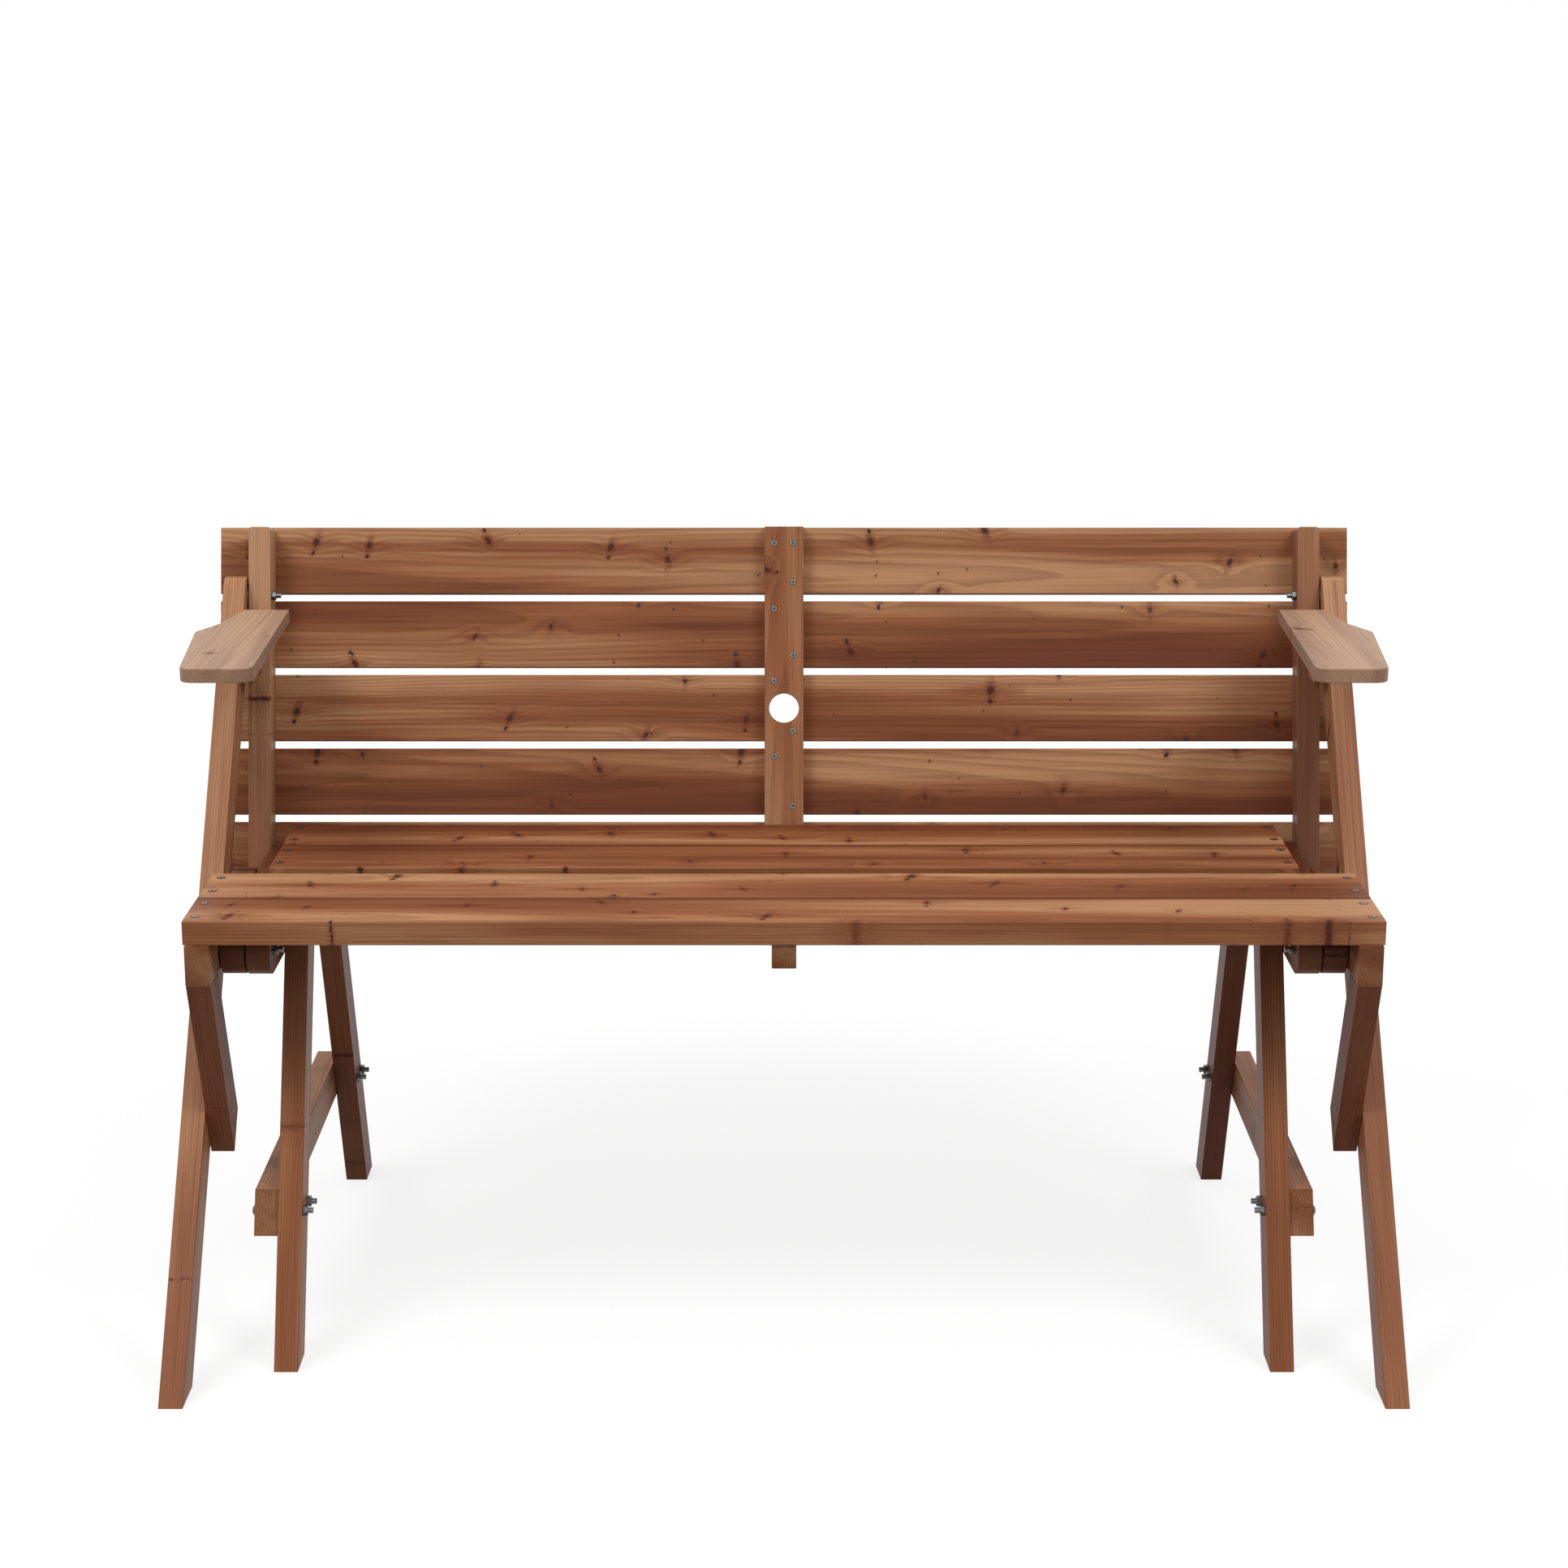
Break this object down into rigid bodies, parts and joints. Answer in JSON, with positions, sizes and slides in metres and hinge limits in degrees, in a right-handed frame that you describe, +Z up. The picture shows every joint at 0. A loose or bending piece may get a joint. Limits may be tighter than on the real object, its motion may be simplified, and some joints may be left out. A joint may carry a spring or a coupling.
{
  "type": "convertible picnic table bench",
  "caption": "Slatted wooden garden bench whose leaning back swings over on hinged side frames to become a picnic table with facing seats and an umbrella hole.",
  "frame": {"origin": "on the floor, under the middle of the bench's bounding box", "axes": "+X along the seats to the sitter's left, +Y from the front towards the backrest, +Z up"},
  "size_m": [1.286, 0.686, 0.8048],
  "materials": {
    "long_leg": "oiled reddish softwood with knots",
    "front_rail": "oiled reddish softwood with knots",
    "strut": "oiled reddish softwood with knots",
    "armrest": "oiled reddish softwood with knots",
    "armrest_cleat": "oiled reddish softwood with knots",
    "front_seat_board_front": "oiled reddish softwood with knots",
    "front_seat_board_back": "oiled reddish softwood with knots",
    "seat_batten": "oiled reddish softwood with knots",
    "rear_rail": "oiled reddish softwood with knots",
    "rear_leg_front": "oiled reddish softwood with knots",
    "rear_leg_back": "oiled reddish softwood with knots",
    "stretcher": "oiled reddish softwood with knots",
    "seat_stop": "oiled reddish softwood with knots",
    "rear_seat_board_front": "oiled reddish softwood with knots",
    "rear_seat_board_back": "oiled reddish softwood with knots",
    "slat_1": "oiled reddish softwood with knots",
    "slat_2": "oiled reddish softwood with knots",
    "slat_3": "oiled reddish softwood with knots",
    "slat_4": "oiled reddish softwood with knots",
    "slat_5": "oiled reddish softwood with knots",
    "end_batten": "oiled reddish softwood with knots",
    "centre_batten": "oiled reddish softwood with knots",
    "swing_arm": "oiled reddish softwood with knots",
    "zinc_steel": "zinc plated"
  },
  "bodies": {
    "rear_frame": {"rear_rail_right": "rear_rail", "rear_rail_left": "rear_rail", "rear_leg_front_right": "rear_leg_front", "rear_leg_front_left": "rear_leg_front", "rear_leg_back_right": "rear_leg_back", "rear_leg_back_left": "rear_leg_back", "stretcher_right": "stretcher", "stretcher_left": "stretcher", "seat_stop_right": "seat_stop", "seat_stop_left": "seat_stop", "rear_seat_board_front": "rear_seat_board_front", "rear_seat_board_back": "rear_seat_board_back", "rear_seat_batten": "seat_batten", "swing_hinge_bolts": "zinc_steel", "swing_hinge_nuts": "zinc_steel", "swing_hinge_washers": "zinc_steel", "stretcher_bolts": "zinc_steel", "stretcher_nuts": "zinc_steel", "rear_rail_bolts": "zinc_steel", "rear_rail_nuts": "zinc_steel"},
    "table": {"slat_1": "slat_1", "slat_2": "slat_2", "slat_3": "slat_3", "slat_4": "slat_4", "slat_5": "slat_5", "end_batten_right": "end_batten", "end_batten_left": "end_batten", "centre_batten": "centre_batten", "swing_arm_right": "swing_arm", "swing_arm_left": "swing_arm", "swing_arm_bolts": "zinc_steel", "swing_arm_nuts": "zinc_steel"},
    "front_frame": {"long_leg_right": "long_leg", "long_leg_left": "long_leg", "front_rail_right": "front_rail", "front_rail_left": "front_rail", "strut_right": "strut", "strut_left": "strut", "armrest_right": "armrest", "armrest_left": "armrest", "armrest_cleat_right": "armrest_cleat", "armrest_cleat_left": "armrest_cleat", "front_seat_board_front": "front_seat_board_front", "front_seat_board_back": "front_seat_board_back", "front_seat_batten": "seat_batten", "upper_hinge_bolts": "zinc_steel", "upper_hinge_nuts": "zinc_steel", "upper_hinge_washers": "zinc_steel"}
  },
  "joints": [
    {"name": "table_swing", "type": "hinge", "parent": "rear_frame", "child": "table", "pos_m": [0, -0.152, 0.426], "axis": [1, 0, 0], "range_deg": [0, 103.82]},
    {"name": "front_level", "type": "hinge", "parent": "table", "child": "front_frame", "pos_m": [0, 0.233, 0.72775], "axis": [1, 0, 0], "range_deg": [-103.82, 0]}
  ],
  "couplings": [
    {"joint": "front_level", "follows": "table_swing", "ratio": -1}
  ]
}
